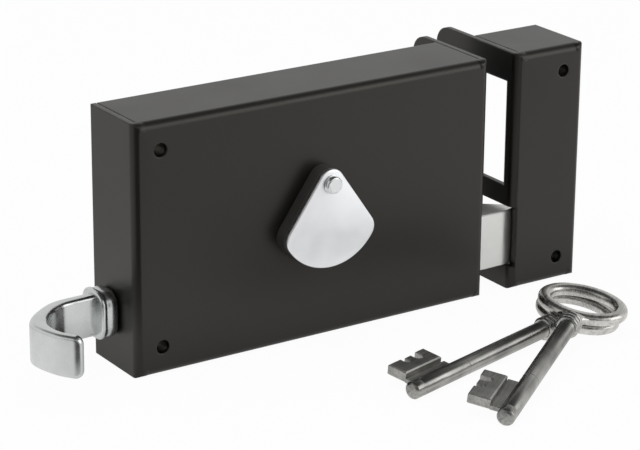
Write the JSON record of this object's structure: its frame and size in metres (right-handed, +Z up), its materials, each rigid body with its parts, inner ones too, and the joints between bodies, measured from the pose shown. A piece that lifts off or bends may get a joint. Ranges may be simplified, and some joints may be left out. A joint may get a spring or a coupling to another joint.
{
  "type": "rim box lock",
  "caption": "Surface rim lock in a folded steel box with sprung hook-pull latch, lever deadbolt and drop key cover, shown with its box keeper and stepped-bit keys.",
  "frame": {"origin": "on the key's axis where it passes the mounting face of the case", "axes": "+X towards the keeper, +Y into the door along the key's axis, +Z up"},
  "size_m": [0.2166, 0.1435, 0.087],
  "materials": {
    "case_paint": "semi-gloss dark grey-brown enamel",
    "keeper_paint": "semi-gloss dark grey-brown enamel, scuffed at the top corners",
    "base_paint": "satin black enamel",
    "plate_steel": "plain cold-rolled steel",
    "zinc_steel": "zinc-plated steel",
    "lever_brass": "punched brass",
    "spring_steel": "tempered spring steel",
    "bolt_steel": "machined steel",
    "latch_plating": "satin nickel plating",
    "hook_plating": "zinc plating on a casting",
    "cover_plating": "satin nickel plating",
    "key_nickel": "tumbled nickel-plated steel"
  },
  "bodies": {
    "case": {"case_shell": "case_paint", "back_plate": "plate_steel", "back_screws": "zinc_steel", "pillars": "zinc_steel", "screw_sleeves": "zinc_steel", "lever_post": "zinc_steel", "lever_bush": "zinc_steel", "bolt_post": "zinc_steel", "spring_bracket": "plate_steel", "crank_post": "zinc_steel", "lever_spring_1": "spring_steel", "lever_spring_2": "spring_steel", "lever_spring_3": "spring_steel", "lever_spring_4": "spring_steel", "latch_spring": "spring_steel", "cover_base": "base_paint", "base_rivets": "zinc_steel", "cover_rivet": "cover_plating", "keeper_shell": "keeper_paint", "keeper_sleeves": "zinc_steel", "key_1": "key_nickel", "key_2": "key_nickel"},
    "latch": {"latch_head": "latch_plating", "latch_rod": "bolt_steel", "latch_peg": "zinc_steel", "pull_hook": "hook_plating", "hook_pin": "zinc_steel"},
    "deadbolt": {"deadbolt": "bolt_steel", "bolt_stump": "bolt_steel"},
    "crank": {"latch_crank": "plate_steel"},
    "lever_1": {"lever_1": "lever_brass"},
    "lever_2": {"lever_2": "lever_brass"},
    "lever_3": {"lever_3": "lever_brass"},
    "lever_4": {"lever_4": "lever_brass"},
    "cover": {"key_cover": "cover_plating"}
  },
  "joints": [
    {"name": "latch_slide", "type": "slide", "parent": "case", "child": "latch", "axis": [-1, 0, 0], "range_m": [0, 0.015], "stiffness_N_per_m": 250, "springref_m": -0.012, "deforming": ["latch_spring"]},
    {"name": "crank_turn", "type": "hinge", "parent": "case", "child": "crank", "pos_m": [-0.025, -0.0217, -0.0045], "axis": [0, 1, 0], "range_deg": [0, 41.1]},
    {"name": "deadbolt_slide", "type": "slide", "parent": "case", "child": "deadbolt", "axis": [1, 0, 0], "range_m": [0, 0.022]},
    {"name": "lever_1_lift", "type": "hinge", "parent": "case", "child": "lever_1", "pos_m": [-0.046, -0.0163, 0.019], "axis": [0, -1, 0], "range_deg": [0, 3.5], "stiffness_Nm_per_rad": 0.4, "springref_deg": -5.73, "deforming": ["lever_spring_1"]},
    {"name": "lever_2_lift", "type": "hinge", "parent": "case", "child": "lever_2", "pos_m": [-0.046, -0.0143, 0.019], "axis": [0, -1, 0], "range_deg": [0, 3.5], "stiffness_Nm_per_rad": 0.4, "springref_deg": -5.73, "deforming": ["lever_spring_2"]},
    {"name": "lever_3_lift", "type": "hinge", "parent": "case", "child": "lever_3", "pos_m": [-0.046, -0.0123, 0.019], "axis": [0, -1, 0], "range_deg": [0, 3.5], "stiffness_Nm_per_rad": 0.4, "springref_deg": -5.73, "deforming": ["lever_spring_3"]},
    {"name": "lever_4_lift", "type": "hinge", "parent": "case", "child": "lever_4", "pos_m": [-0.046, -0.0103, 0.019], "axis": [0, -1, 0], "range_deg": [0, 3.5], "stiffness_Nm_per_rad": 0.4, "springref_deg": -5.73, "deforming": ["lever_spring_4"]},
    {"name": "cover_swing", "type": "hinge", "parent": "case", "child": "cover", "pos_m": [0, -0.034, 0.0132], "axis": [0, 1, 0], "range_deg": [-100, 100]}
  ],
  "couplings": [
    {"joint": "crank_turn", "follows": "latch_slide", "rad_per_m": 47.84}
  ]
}
